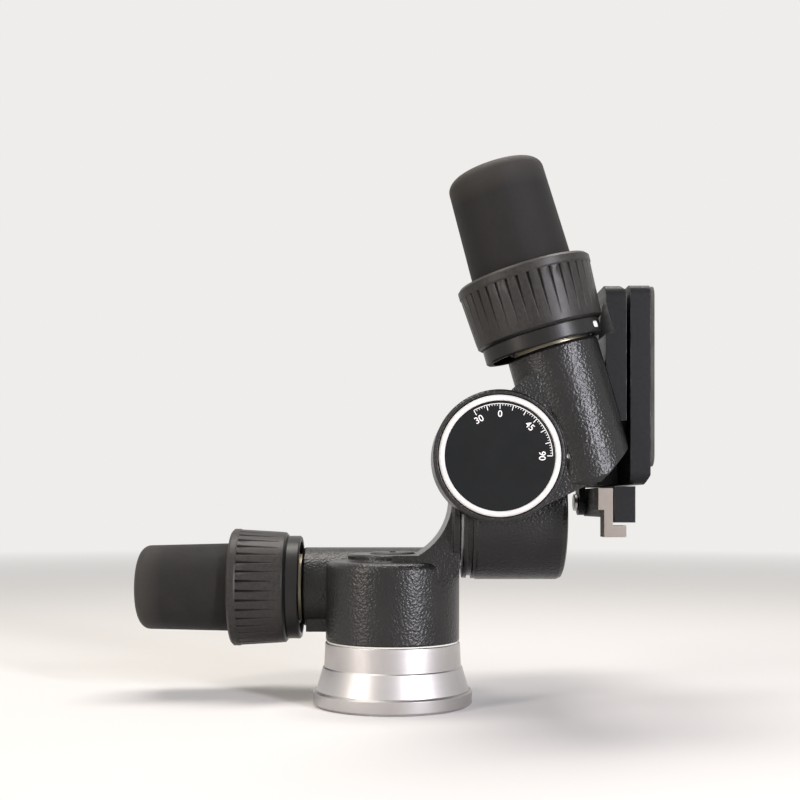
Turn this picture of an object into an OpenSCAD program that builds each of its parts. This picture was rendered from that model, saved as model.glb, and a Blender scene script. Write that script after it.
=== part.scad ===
// Geared tripod head. Three worm drives are stacked between a tripod base and a quick-release
// platform: one turns the head, one tips it sideways, one tips it back and forth.
// The origin is the middle of the base's bottom face, +Z is up, +X runs from the pan housing
// towards the platform, and the tilt dial faces -Y. It is drawn with the platform tipped down
// a quarter turn, so that it stands upright on the +X side.

/* [Base] */
// Radius of the foot flange
base_r = 30; // [28:0.5:34]
// Height of the foot flange
base_foot_h = 5.7; // [4:0.1:8]
// Height at which the cone ends and the upper band starts
base_cone_h = 14.1; // [11:0.1:17]
// Full height of the base
base_h = 23.5; // [20:0.5:30]
// Radius of the upper band
base_band_r = 25.4; // [24:0.1:27]
// Tap drill radius of the tripod socket
socket_r = 3.97; // [3.2:0.01:5]
// Depth of the tripod socket
socket_depth = 13; // [9:0.5:18]

/* [Pan housing] */
// Radius of the pan drum
drum_r = 25.2; // [24.6:0.1:25.4]
// Height of the drum above the base
drum_h = 30.5; // [29.5:0.5:33.5]
// Height of the raised boss on the drum
boss_h = 2.6; // [1.5:0.1:4]
// Radius of the raised boss
boss_r = 16.9; // [14:0.1:18]
// Height of the pan worm's axis above the base
pan_worm_rise = 18.7; // [17.5:0.1:19.5]

/* [Tilt axes] */
// Height of the sideways tilt axis above the drum
lateral_rise = 17; // [16:0.5:20]
// Outer radius of the sideways tilt barrel
barrel_r = 24; // [23.2:0.1:24]
// Far end of the sideways tilt barrel
barrel_end = 63.5; // [62.5:0.5:68]
// Place of the front tilt axis along X
front_x = 36; // [35.5:0.5:38]
// Height of the front tilt axis above the sideways one
front_rise = 20.3; // [20:0.1:22]
// Outer radius of the front tilt hub
hub_r = 22.2; // [21.9:0.1:23]
// Lean of the front worm from upright, in degrees
front_lean = 16; // [12:1:18]

/* [Worm drives] */
// Teeth on each worm wheel
wheel_teeth = 48; // [44:1:52]
// Pitch radius of each worm wheel
wheel_r = 18.72; // [18.2:0.02:19]
// Width of each worm wheel
wheel_w = 7; // [5:0.5:7.5]
// Pitch radius of each worm
worm_r = 7.48; // [7.2:0.02:7.6]
// Side play between a thread flank and a tooth flank
flank_gap = 0.16; // [0.14:0.01:0.2]
// Throw of the eccentric sleeve that lifts a worm out of mesh
throw = 2.6; // [2.5:0.1:2.8]
// Wall of the thin side of the eccentric sleeve
sleeve_wall = 2.05; // [1.8:0.05:2.3]
// Wall of a worm tube
tube_wall = 2.65; // [2.2:0.05:2.8]

/* [Knobs] */
// Radius of a collar at its rim
collar_r = 23.3; // [22.5:0.1:23.6]
// Radius of a collar at the foot of its ribs
collar_foot_r = 21.9; // [21.4:0.1:22.4]
// Radius of a collar's skirt
skirt_r = 20.5; // [20:0.1:21]
// Length of a collar's skirt
skirt_h = 5.2; // [4:0.1:6]
// Full length of a collar
collar_h = 27.4; // [26:0.2:30]
// Ribs round a collar
collar_ribs = 38; // [30:2:42]
// Depth of the grooves between ribs
groove_depth = 1.3; // [0.8:0.1:1.6]
// Radius of a grip at the collar
grip_r = 17.5; // [16.5:0.1:17.6]
// Radius of a grip at its tip
grip_tip_r = 16.7; // [15.5:0.1:17]
// Length of a grip past the collar
grip_h = 37.3; // [32:0.1:42]

/* [Platform] */
// Face of the platform that looks back at the tilt axis, from that axis
platform_reach = 37.2; // [37:0.1:38]
// Thickness of the platform
platform_t = 7; // [6:0.1:7.4]
// Half width of the platform, front to back
platform_half = 44; // [40:0.5:45]
// Top edge of the platform, above the front tilt axis
platform_top = 59.3; // [56:0.1:59.4]
// Bottom edge of the platform, below the front tilt axis
platform_low = 9.3; // [8:0.1:10]
// Gap between the platform and the camera plate's flange
plate_gap = 1.3; // [1:0.1:1.8]
// Thickness of the camera plate's flange
plate_t = 8.3; // [7:0.1:9]
// Radius of the camera screw, a quarter inch thread
camera_screw_r = 3.175; // [3:0.005:3.2]
// Length of thread that stands out of the plate
camera_screw_out = 5.5; // [4:0.1:7]

/* [Hidden] */
$fn = 72;
running = 0.05;            // radial play of a turning fit
snug = 0.02;               // radial play of a fixed fit
clear_gap = 0.4;           // play beside a turning face

drum_top = base_h + drum_h;
pan_worm_z = base_h + pan_worm_rise;
lateral_z = drum_top + lateral_rise;
front_z = lateral_z + front_rise;

module_mm = 2 * wheel_r / wheel_teeth;
thread_pitch = PI * module_mm;
wheel_out_r = wheel_r + module_mm;
wheel_root_r = wheel_r - 1.25 * module_mm;
worm_out_r = worm_r + module_mm;
worm_root_r = worm_r - 1.25 * module_mm;
lead_angle = atan(thread_pitch / (2 * PI * worm_r));
mesh_distance = wheel_r + worm_r;          // worm axis from wheel axis
tube_distance = mesh_distance + throw;     // sleeve axis from wheel axis
journal_r = worm_out_r + 0.14;             // the worm passes through its own bearing
sleeve_bore_r = journal_r + running;
sleeve_r = sleeve_bore_r + throw + sleeve_wall;
tube_bore_r = sleeve_r + running;
tube_r = tube_bore_r + tube_wall;
cavity_r = wheel_out_r + clear_gap;
stub_r = 4;                                // far journal of the worm shaft
window_half = sqrt(pow(wheel_out_r, 2) - pow(tube_distance - sleeve_r, 2)) + 1.6;
thread_first = 2;                          // whole turns of thread on the far side of the middle
thread_turns = 5.75;
worm_back = thread_pitch * (thread_first + 1) + 0.65;
bore_back = worm_back + 0.3;               // the sleeve's wide bore ends here
// The sleeve's nose carries the far journal, and is turned down to pass under the wheel
nose_r = tube_distance - sqrt(pow(wheel_out_r, 2) - pow(bore_back, 2)) - 0.75;
nose_tip_r = stub_r + throw + 1.3;
nose_back = bore_back + 3.5;
nose_gap = 0.3;

// Where each worm tube ends, behind the middle of its worm
pan_tube_end = 17.5;
lateral_tube_end = 22.6;
front_tube_end = 17.5;

shaft_r = 9;                               // spindles
shaft_bore_r = 5;
bush_r = 11.5;
flange_r = 19;
flange_t = 3.6;
key_w = 3;
key_t = 1.4;
dial_r = 18.4;
dial_ring_r = 20.3;
dial_t = 3;

// Inside a knob, measured from where its collar starts
journal_end = 8.4;
knob_shaft_r = 5;
knob_shaft_end = 44.5;
knob_screw_r = 2.1;
core_start = 9;
core_flange_t = 3;
core_r = 12.6;
core_end = 56.6;

// Where each collar starts, from the middle of its worm
pan_collar = 36.5;
lateral_collar = 28.4;
front_collar = 31.3;

// Spindle stacks, measured from the face that carries the spindle
lateral_face = 24.8;                       // arm flange face along X
lateral_wheel = 20.2;
lateral_end = barrel_end - lateral_face;
front_face = barrel_r;                     // distance of the front pad from Y = 0
front_wheel = 16;
front_end = 32;
pan_wheel = pan_worm_z - base_h;
lateral_wheel_x = lateral_face + lateral_wheel;
front_wheel_y = -front_face - front_wheel;

platform_x = front_x + platform_reach;
platform_out = platform_x + platform_t;
plate_x = platform_out + plate_gap;
plate_out = plate_x + plate_t;
platform_z0 = front_z - platform_low;
platform_z1 = front_z + platform_top;
platform_mid_z = (platform_z0 + platform_z1) / 2;
platform_w = platform_z1 - platform_z0;

// ---- Frames -------------------------------------------------------------------------------
// In a drive's own frame the wheel turns about Z, and the worm runs along X at Y = mesh_distance
// with its knob on the +X side.
module in_pan() { translate([0, 0, pan_worm_z]) rotate([0, 180, 0]) children(); }
module in_lateral() { translate([lateral_wheel_x, 0, lateral_z]) rotate([90, 0, 90]) children(); }
module in_front() {
    translate([front_x, front_wheel_y, front_z]) rotate([-90, -90 - front_lean, 0]) children();
}
// Z of what is drawn becomes the line of the worm, or that of the sleeve
module on_worm() { translate([0, mesh_distance, 0]) rotate([0, 90, 0]) children(); }
module on_sleeve() { translate([0, tube_distance, 0]) rotate([0, 90, 0]) children(); }
// Z of what is drawn runs out from the face that carries a spindle
module on_lateral_face() { translate([lateral_face, 0, lateral_z]) rotate([0, 90, 0]) children(); }
module on_front_face() { translate([front_x, -front_face, front_z]) rotate([90, 0, 0]) children(); }

module ring(outer, inner, height) {
    difference() {
        cylinder(r = outer, h = height);
        translate([0, 0, -1]) cylinder(r = inner, h = height + 2);
    }
}

// A disc with both rims broken by a small chamfer
module turned_disc(r, h, c) {
    rotate_extrude() polygon([[0, 0], [r - c, 0], [r, c], [r, h - c], [r - c, h], [0, h]]);
}

// ---- Worm drive ---------------------------------------------------------------------------
module wheel_tooth() {
    thick = thread_pitch / 2 - flank_gap;
    root = thick / 2 + 1.25 * module_mm * tan(20);
    tip = thick / 2 - module_mm * tan(20);
    translate([0, wheel_r, 0]) rotate([0, -lead_angle, 0])
        linear_extrude(height = wheel_w, center = true)
            polygon([[-root, -1.25 * module_mm - 0.4], [root, -1.25 * module_mm - 0.4],
                [root, -1.25 * module_mm], [tip, module_mm],
                [-tip, module_mm], [-root, -1.25 * module_mm]]);
}

// The key slot is turned to meet the key of its spindle
module worm_wheel(key_turn) {
    difference() {
        union() {
            cylinder(r = wheel_root_r, h = wheel_w - 0.3, center = true);
            for (i = [0:wheel_teeth - 1]) rotate([0, 0, i * 360 / wheel_teeth]) wheel_tooth();
        }
        cylinder(r = shaft_r + snug, h = wheel_w + 2, center = true);
        rotate([0, 0, key_turn]) translate([shaft_r, 0, 0])
            cube([2 * key_t + 0.1, key_w + 0.1, wheel_w + 2], center = true);
        for (a = [45:90:315]) rotate([0, 0, a])
            translate([(shaft_r + wheel_root_r) / 2 + 0.4, 0, 0])
                cylinder(r = 1.9, h = wheel_w + 2, center = true);
    }
}

// A right-hand thread, swept as one ridge, whose crest at the wheel lies midway between teeth
thread_steps = 20;
function thread_section(i) =
    let (a = i * 360 / thread_steps,
        x = thread_pitch * (i / thread_steps - thread_first - 0.5),
        half = (thread_pitch / 2 - flank_gap) / 2,
        low = worm_root_r - 0.6,
        low_half = half + (worm_r - low) * tan(20),
        tip_half = half - module_mm * tan(20))
    [for (p = [[-low_half, low], [-tip_half, worm_out_r], [tip_half, worm_out_r], [low_half, low]])
        [x + p[0], -p[1] * cos(a), -p[1] * sin(a)]];

module worm_thread() {
    count = floor(thread_turns * thread_steps);
    n = 4;
    points = [for (i = [0:count]) for (p = thread_section(i)) p];
    sides = [for (i = [0:count - 1]) for (k = [0:n - 1])
        each [[i * n + k, i * n + (k + 1) % n, (i + 1) * n + k],
            [i * n + (k + 1) % n, (i + 1) * n + (k + 1) % n, (i + 1) * n + k]]];
    first = [for (k = [1:n - 2]) [0, k + 1, k]];
    last = [for (k = [1:n - 2]) [count * n, count * n + k, count * n + k + 1]];
    polyhedron(points = points, faces = concat(sides, first, last));
}

module worm_shaft(collar_at) {
    color("silver") {
        translate([0, mesh_distance, 0]) worm_thread();
        on_worm() difference() {
            rotate_extrude() polygon([[0, -nose_back + 0.2], [stub_r - 0.5, -nose_back + 0.2],
                [stub_r, -nose_back + 0.7], [stub_r, -worm_back], [worm_root_r - 0.5, -worm_back],
                [worm_root_r, -worm_back + 0.5], [worm_root_r, window_half - 0.8],
                [journal_r, window_half], [journal_r, collar_at + journal_end],
                [knob_shaft_r, collar_at + journal_end], [knob_shaft_r, collar_at + knob_shaft_end - 0.5],
                [knob_shaft_r - 0.5, collar_at + knob_shaft_end], [0, collar_at + knob_shaft_end]]);
            translate([0, 0, collar_at + knob_shaft_end - 14.5]) cylinder(r = knob_screw_r, h = 20);
        }
    }
}

// The sleeve turns in the tube. The worm's bore lies off its middle, towards the wheel, and a
// window lets the wheel in at every angle from locked to released.
release_angle = 70;
release_out = throw * (1 - cos(release_angle));   // how far a released worm moves off its wheel
module eccentric_sleeve(collar_at) {
    half_w = wheel_w / 2 + 0.7;
    near = tube_distance - cavity_r;
    side = atan(half_w / near) + 2;
    color("darkgoldenrod") difference() {
        on_sleeve() rotate_extrude() polygon([[0, -nose_back], [nose_tip_r, -nose_back],
            [nose_r, -nose_back + 1.5], [nose_r, -bore_back], [sleeve_r, -bore_back],
            [sleeve_r, collar_at + 8], [0, collar_at + 8]]);
        on_worm() translate([0, 0, -bore_back]) cylinder(r = sleeve_bore_r, h = bore_back + collar_at + 30);
        on_worm() translate([0, 0, -nose_back - 1]) cylinder(r = stub_r + running, h = nose_back);
        // the wheel comes from -Y, and in the sleeve's frame it swings round towards +Z
        translate([-bore_back - 0.1, tube_distance, 0]) rotate([0, 90, 0]) rotate([0, 0, -90 - side - release_angle])
            rotate_extrude(angle = 2 * side + release_angle)
                square([sleeve_r + 2, bore_back + window_half + 0.1]);
    }
}

module release_spring(collar_at) {
    turns = 1.8;
    steps = 16;
    wire = 0.55;
    coil_r = tube_bore_r + 1.2;
    rise = 1.25;
    n = 6;
    count = floor(turns * steps);
    points = [for (i = [0:count]) let (a = i * 360 / steps) for (k = [0:n - 1])
        let (b = k * 360 / n, r = coil_r + wire * cos(b))
        [collar_at + 0.95 + rise * i / steps + wire * sin(b), r * cos(a), r * sin(a)]];
    sides = [for (i = [0:count - 1]) for (k = [0:n - 1])
        each [[i * n + k, (i + 1) * n + k, i * n + (k + 1) % n],
            [i * n + (k + 1) % n, (i + 1) * n + k, (i + 1) * n + (k + 1) % n]]];
    first = [for (k = [1:n - 2]) [0, k, k + 1]];
    last = [for (k = [1:n - 2]) [count * n, count * n + k + 1, count * n + k]];
    color("dimgray") translate([0, tube_distance, 0])
        polyhedron(points = points, faces = concat(sides, first, last));
}

// ---- Knobs --------------------------------------------------------------------------------
module release_collar(collar_at) {
    bore_r = grip_r + 0.4;
    foot = skirt_h + 2.8;
    rim = collar_h - 3.6;
    spring_r = tube_bore_r + 1.2 + 1.4 + throw;
    color("#262626") difference() {
        on_worm() translate([0, 0, collar_at]) difference() {
            rotate_extrude() polygon([[10, 3.9], [spring_r, 3.9], [spring_r, 0],
                [skirt_r - 0.5, 0], [skirt_r, 0.5], [skirt_r, skirt_h - 0.3],
                [skirt_r - 0.4, skirt_h], [collar_foot_r - 0.9, skirt_h + 0.1],
                [collar_foot_r, skirt_h + 0.9], [collar_foot_r + 0.2, foot], [collar_r - 0.3, rim],
                [collar_r, rim + 0.6], [collar_r, collar_h - 0.9], [collar_r - 0.9, collar_h],
                [bore_r + 0.7, collar_h], [bore_r, collar_h - 0.7], [bore_r, 8.6], [10, 8.6]]);
            for (i = [0:collar_ribs - 1]) rotate([0, 0, (i + 0.5) * 360 / collar_ribs])
                translate([collar_foot_r, 0, skirt_h + 3]) rib_cutter(rim - skirt_h - 3);
        }
        on_sleeve() translate([0, 0, collar_at - 1]) cylinder(r = sleeve_r + snug, h = 12);
    }
}

// One V groove: its floor starts level with the ribs at the foot and sinks towards the rim
module rib_cutter(length) {
    grow = collar_r - collar_foot_r;
    lean = atan((grow - groove_depth) / length);
    rotate([0, lean, 0]) linear_extrude(height = length)
        polygon([[0.1, 0], [groove_depth + 1.6, -2], [groove_depth + 1.6, 2]]);
}

module knob_core(collar_at) {
    color("dimgray") on_worm() translate([0, 0, collar_at]) difference() {
        union() {
            translate([0, 0, core_start]) turned_disc(grip_r - 0.6, core_flange_t, 0.4);
            translate([0, 0, core_start]) cylinder(r = core_r, h = core_end - core_start);
        }
        cylinder(r = knob_shaft_r + snug, h = knob_shaft_end + 1.5);
        cylinder(r = knob_screw_r + 0.1, h = core_end + 1);
    }
}

module knob_grip(collar_at) {
    bottom = core_start + core_flange_t + 0.2;
    top = collar_h + grip_h;
    round_r = 6;
    arc = [for (a = [0:10:90])
        [grip_tip_r - round_r + round_r * cos(a), top - round_r * 0.75 + round_r * 0.75 * sin(a)]];
    color("#2b2b2b") on_worm() translate([0, 0, collar_at])
        rotate_extrude() polygon(concat([[core_r + snug, bottom], [grip_r, bottom], [grip_r, collar_h]],
            arc, [[0, top], [0, core_end + 0.2], [core_r + snug, core_end + 0.2]]));
}

// ---- Spindle stack ------------------------------------------------------------------------
module spindle(wheel_at, end_at, screw_pcd, screw_turn) {
    color("silver") difference() {
        union() {
            turned_disc(flange_r, flange_t, 0.4);
            cylinder(r = shaft_r, h = end_at - dial_t);
            translate([shaft_r - 0.4, -key_w / 2, wheel_at - wheel_w / 2])
                cube([key_t + 0.4, key_w, wheel_w]);
        }
        translate([0, 0, -1]) cylinder(r = shaft_bore_r, h = end_at - dial_t - 5);
        cylinder(r = 1.6, h = end_at);
        for (a = [0:90:270]) rotate([0, 0, a + screw_turn]) translate([screw_pcd / 2, 0, 0]) {
            translate([0, 0, -1]) cylinder(r = 1.7, h = flange_t + 2);
            translate([0, 0, 2.45]) cylinder(r = 2.9, h = flange_t);
        }
    }
}

module spindle_screws(screw_pcd, screw_turn, depth) {
    color("gray") for (a = [0:90:270]) rotate([0, 0, a + screw_turn])
        translate([screw_pcd / 2, 0, 0]) socket_screw(1.5, 2.7, 3.5, depth, 2.5);
}

// A cap screw: its head's underside lies at Z = seat and its thread runs down to Z = -depth
module socket_screw(thread_r, head_r, head_top, depth, seat) {
    difference() {
        union() {
            translate([0, 0, -depth]) cylinder(r = thread_r, h = depth + seat + 0.2);
            translate([0, 0, seat]) turned_disc(head_r, head_top - seat, 0.25);
        }
        translate([0, 0, head_top - 1.1]) cylinder(r = head_r * 0.52, h = 2, $fn = 6);
    }
}

module flanged_bush(length) { color("goldenrod") ring(bush_r, shaft_r + running, length); }

// Its inner end is turned down to clear the eccentric sleeve
module bearing_cover(length) {
    step = sqrt(pow(tube_bore_r, 2) - pow(tube_distance - cavity_r, 2)) + 0.5 - wheel_w / 2 - 0.6;
    near_r = tube_distance - sleeve_r - 0.4;
    color("#333333") difference() {
        rotate_extrude() polygon([[0, 0], [near_r, 0], [near_r, step], [cavity_r - snug, step],
            [cavity_r - snug, length - 0.3], [cavity_r - 0.4, length], [0, length]]);
        translate([0, 0, -1]) cylinder(r = shaft_r + 0.3, h = length + 2);
        for (a = [0:60:300]) rotate([0, 0, a]) translate([14.5, 0, length - 2.2])
            cylinder(r = 1.6, h = 3);
    }
}

module dial_face() {
    color("#151515") difference() {
        rotate_extrude() polygon([[0, 0.2], [shaft_r + 2, 0.2], [shaft_r + 2, 0],
            [dial_r - snug, 0], [dial_r - snug, dial_t - 0.7], [dial_r - 0.3, dial_t - 0.45],
            [0, dial_t - 0.45]]);
        translate([0, 0, -1]) cylinder(r = 1.6, h = dial_t - 0.4);
    }
}

module dial_rim() {
    color("#e8e6e0") rotate_extrude() polygon([[dial_r, 0], [dial_ring_r, 0],
        [dial_ring_r, dial_t - 0.5], [dial_ring_r - 0.5, dial_t], [dial_r + 0.3, dial_t],
        [dial_r, dial_t - 0.3]]);
}

// ---- Base ---------------------------------------------------------------------------------
base_screw_pcd = 29;
module at_base_screws() {
    for (a = [30:120:270]) rotate([0, 0, a]) translate([base_screw_pcd / 2, 0, 0]) children();
}

module base_ring() {
    color("silver") difference() {
        rotate_extrude() polygon([[0, 0], [base_r - 0.8, 0], [base_r, 0.9], [base_r, base_foot_h - 0.6],
            [base_r - 0.6, base_foot_h], [base_r - 1.2, base_foot_h],
            [base_band_r + 0.9, base_cone_h], [base_band_r + 0.45, base_cone_h + 0.4],
            [base_band_r, base_h - 0.3], [base_band_r - 0.3, base_h], [0, base_h]]);
        translate([0, 0, -1]) cylinder(r = socket_r, h = socket_depth + 1);
        at_base_screws() {
            translate([0, 0, -1]) cylinder(r = 2.05, h = base_h + 2);
            translate([0, 0, -1]) cylinder(r = 3.7, h = 7);
        }
    }
}

module base_screws() {
    color("gray") at_base_screws() translate([0, 0, 7.4]) rotate([180, 0, 0])
        socket_screw(2, 3.4, 5, base_h + 2.6 - 7.4, 1.4);
}

module pan_spindle() {
    top = drum_top - 0.8;
    color("silver") translate([0, 0, base_h]) difference() {
        union() {
            turned_disc(flange_r, flange_t, 0.4);
            cylinder(r = shaft_r, h = top - base_h);
            translate([shaft_r - 0.4, -key_w / 2, pan_wheel - wheel_w / 2])
                cube([key_t + 0.4, key_w, wheel_w]);
        }
        translate([0, 0, top - base_h - 14]) cylinder(r = 4, h = 16);
        at_base_screws() translate([0, 0, -1]) cylinder(r = 2 + snug, h = flange_t + 2);
    }
}

module pan_worm_wheel() { color("goldenrod") in_pan() worm_wheel(180); }

module pan_thrust_washer() {
    color("ivory") translate([0, 0, base_h]) ring(base_band_r - 0.7, cavity_r + 0.5, 0.45);
}

module pan_top_plug() {
    color("#1c1c1c") difference() {
        union() {
            translate([0, 0, drum_top - 0.2]) turned_disc(8.4, boss_h + 0.9, 0.5);
            translate([0, 0, drum_top - 12]) cylinder(r = 4 - snug, h = 12.2);
        }
        translate([-1.1, -5.5, drum_top + boss_h - 0.4]) cube([2.2, 11, 3]);
    }
}

// ---- Pan stage ----------------------------------------------------------------------------
arm_arc_r = 24;
flange_disc_t = 3;
flange_disc_r = barrel_r - 0.6;
arm_half = 19;
module tilt_arm() {
    arc_x = lateral_face - flange_disc_t - arm_arc_r;
    arc_z = lateral_z + 6.6;
    start = -asin((arc_z - drum_top - boss_h) / arm_arc_r);
    low = drum_top - 5.5;
    rotate([90, 0, 0]) linear_extrude(height = 2 * arm_half, center = true)
        polygon(concat([for (i = [0:10]) let (a = start * (1 - i / 10))
                [arc_x + arm_arc_r * cos(a), arc_z + arm_arc_r * sin(a)]],
            [[lateral_face - 0.4, arc_z], [lateral_face - 0.4, low + 1.5],
                [lateral_face - 2.4, low], [0, low], [0, drum_top + boss_h]]));
}

module drum() {
    rotate_extrude() polygon(concat([[0, base_h + 0.5], [drum_r - 0.5, base_h + 0.5], [drum_r, base_h + 1]],
        [for (a = [0:15:90]) [drum_r - 3 + 3 * cos(a), drum_top - 3 + 3 * sin(a)]],
        [[boss_r + 0.8, drum_top], [boss_r, drum_top + 0.6], [boss_r, drum_top + boss_h - 0.6],
            [boss_r - 0.6, drum_top + boss_h], [0, drum_top + boss_h]]));
}

module worm_tube(collar_at, end) {
    on_sleeve() rotate_extrude() polygon([[0, -end], [tube_r - 2, -end], [tube_r, 2 - end],
        [tube_r, collar_at - 1.6], [tube_r - 0.6, collar_at - 0.6], [0, collar_at - 0.6]]);
}

module worm_tube_bore(collar_at) {
    on_sleeve() rotate_extrude() polygon([[0, -nose_back - nose_gap],
        [nose_tip_r + nose_gap, -nose_back - nose_gap], [nose_r + nose_gap, -nose_back + 1.5 - nose_gap / 2],
        [nose_r + nose_gap, -bore_back - nose_gap / 2], [tube_bore_r, -bore_back - nose_gap / 2],
        [tube_bore_r, collar_at + 5], [0, collar_at + 5]]);
}

module pan_housing() {
    color("#1e1c1a") difference() {
        union() {
            drum();
            in_pan() worm_tube(pan_collar, pan_tube_end);
            // lower web of the neck
            translate([-pan_collar + 2.2, tube_distance - 10, base_h + 1.5])
                cube([pan_collar - 4, 20, pan_worm_z - base_h - 4]);
            tilt_arm();
            on_lateral_face() translate([0, 0, -flange_disc_t])
                turned_disc(flange_disc_r, flange_disc_t, 0.5);
        }
        translate([0, 0, base_h - 1]) cylinder(r = cavity_r, h = pan_worm_z + wheel_w / 2 + 1.5 - base_h);
        cylinder(r = bush_r + snug, h = drum_top - 0.2);
        cylinder(r = 8.8, h = drum_top + 20);
        in_pan() worm_tube_bore(pan_collar);
        on_lateral_face() for (a = [0:90:270]) rotate([0, 0, a + 45]) translate([14, 0, -flange_disc_t - 0.3])
            cylinder(r = 1.5 + snug, h = flange_disc_t + 2);
    }
}

module pan_bush() {
    bottom = pan_worm_z + wheel_w / 2 + 0.6;
    translate([0, 0, bottom]) flanged_bush(drum_top - 0.3 - bottom);
}

module lateral_spindle() { on_lateral_face() spindle(lateral_wheel, lateral_end, 28, 45); }
module lateral_spindle_screws() { on_lateral_face() spindle_screws(28, 45, flange_disc_t - 0.1); }
module lateral_worm_wheel() { color("goldenrod") in_lateral() worm_wheel(-90); }
module lateral_dial() { on_lateral_face() translate([0, 0, lateral_end - dial_t]) dial_face(); }
module lateral_dial_ring() { on_lateral_face() translate([0, 0, lateral_end - dial_t]) dial_rim(); }

// ---- Sideways tilt stage ------------------------------------------------------------------
// Hollow for a spindle's flange, bush, wheel, cover and dial
module stack_cavity(wheel_at, end_at) {
    translate([0, 0, -1]) cylinder(r = cavity_r, h = flange_t + 1.5);
    cylinder(r = bush_r + snug, h = wheel_at);
    translate([0, 0, wheel_at - wheel_w / 2 - 0.5]) cylinder(r = cavity_r, h = end_at);
    translate([0, 0, end_at - dial_t - 0.4]) cylinder(r = dial_ring_r + clear_gap, h = 10);
}

dial_land = barrel_r - dial_ring_r - clear_gap;    // rim of the barrel outside its dial
pointer_r = 0.27 * dial_land;
pointer_place = dial_ring_r + clear_gap + 0.41 * dial_land;
module lateral_housing() {
    color("#161616") difference() {
        union() {
            on_lateral_face() rotate_extrude() polygon([[0, 1.2], [barrel_r - 0.6, 1.2],
                [barrel_r - 0.4, 2.6], [barrel_r - 1.4, 2.8], [barrel_r - 1.4, 4.4],
                [barrel_r - 0.3, 4.6], [barrel_r - 0.3, 5.8], [barrel_r, 6.2],
                [barrel_r, lateral_end - 2.2], [barrel_r - 0.6, lateral_end - 0.7],
                [barrel_r - 2, lateral_end - 0.1], [0, lateral_end - 0.1]]);
            in_lateral() worm_tube(lateral_collar, lateral_tube_end);
            // neck between barrel and worm tube
            translate([lateral_wheel_x - 14.5, -20, lateral_z]) cube([29, 39, tube_distance - 4]);
            intersection() {
                on_front_face() translate([0, 0, -6]) turned_disc(hub_r - 3, 6, 0.5);
                translate([lateral_face + 1.2, -front_face - 1, 0]) cube([60, 30, 200]);
            }
        }
        on_lateral_face() stack_cavity(lateral_wheel, lateral_end);
        in_lateral() worm_tube_bore(lateral_collar);
        on_front_face() for (a = [0:90:270]) rotate([0, 0, a + 45]) translate([10, 0, -6.3])
            cylinder(r = 1.5 + snug, h = 8);
        on_lateral_face() translate([-pointer_place, 0, lateral_end - 0.7])
            cylinder(r = pointer_r + snug, h = 3);
    }
}

module lateral_bush() {
    on_lateral_face() translate([0, 0, flange_t + 0.5])
        flanged_bush(lateral_wheel - wheel_w / 2 - 0.6 - flange_t - 0.5);
}
module lateral_bearing_cover() {
    on_lateral_face() translate([0, 0, lateral_wheel + wheel_w / 2 + 0.6])
        bearing_cover(lateral_end - dial_t - 1 - lateral_wheel - wheel_w / 2 - 0.6);
}
module lateral_pointer() {
    color("white") on_lateral_face() translate([-pointer_place, 0, lateral_end - 0.7])
        cylinder(r = pointer_r, h = 0.75);
}
module front_spindle() { on_front_face() spindle(front_wheel, front_end, 20, 45); }
module front_spindle_screws() { on_front_face() spindle_screws(20, 45, 6); }
module front_worm_wheel() { color("goldenrod") in_front() worm_wheel(90 + front_lean); }
module front_dial() { on_front_face() translate([0, 0, front_end - dial_t]) dial_face(); }
module front_dial_ring() { on_front_face() translate([0, 0, front_end - dial_t]) dial_rim(); }

// ---- Front tilt stage ---------------------------------------------------------------------
web_half = 13.5;
module front_web() {
    hub_y = 9.6;
    hub_x = sqrt(hub_r * hub_r - hub_y * hub_y);
    linear_extrude(height = 2 * web_half, center = true) polygon([[-hub_x - 0.4, hub_y - 2],
        [0.6 - front_tube_end, tube_distance], [front_collar - 8, tube_distance],
        [front_collar - 8, tube_distance - tube_r + 3], [hub_x, hub_y], [0, 0]]);
}

// Cut across the casting's lower corner, as far from the tube's axis and as steep as this
corner_reach = 15.6;
corner_turn = 32;
pad_t = 7;
pad_near = front_wheel_y + 6;              // the pad starts behind the tube's widest line
module front_casting() {
    boss_z = platform_z0 + 4;
    color("#201d1b") difference() {
        intersection() {
            union() {
                on_front_face() translate([0, 0, 0.4]) turned_disc(hub_r, front_end - 0.9, 0.7);
                in_front() worm_tube(front_collar, front_tube_end);
                in_front() front_web();
                translate([front_x + 22, pad_near, boss_z])
                    cube([platform_x - front_x - 22, front_wheel_y + web_half - pad_near, 35]);
                // bolting pad behind the platform
                translate([platform_x - pad_t, pad_near, boss_z])
                    cube([pad_t, screw_column + 4.6 - pad_near, 35]);
            }
            translate([0, -100, 0]) cube([platform_out - 0.05, 200, 300]);
        }
        on_front_face() stack_cavity(front_wheel, front_end);
        in_front() worm_tube_bore(front_collar);
        // the lower right corner is cut away
        in_front() translate([-corner_reach * cos(corner_turn), tube_distance + corner_reach * sin(corner_turn), -50])
            rotate([0, 0, -corner_turn]) translate([-40, -40, 0]) cube([40, 80, 100]);
        translate([front_x + hub_r + 1.1, front_wheel_y - web_half - 1, front_z])
            rotate([-90, 0, 0]) cylinder(r = pointer_r + snug, h = 1.6);
        at_platform_screws() translate([0, 0, -6.2]) cylinder(r = 2 + snug, h = 8);
    }
}

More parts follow.
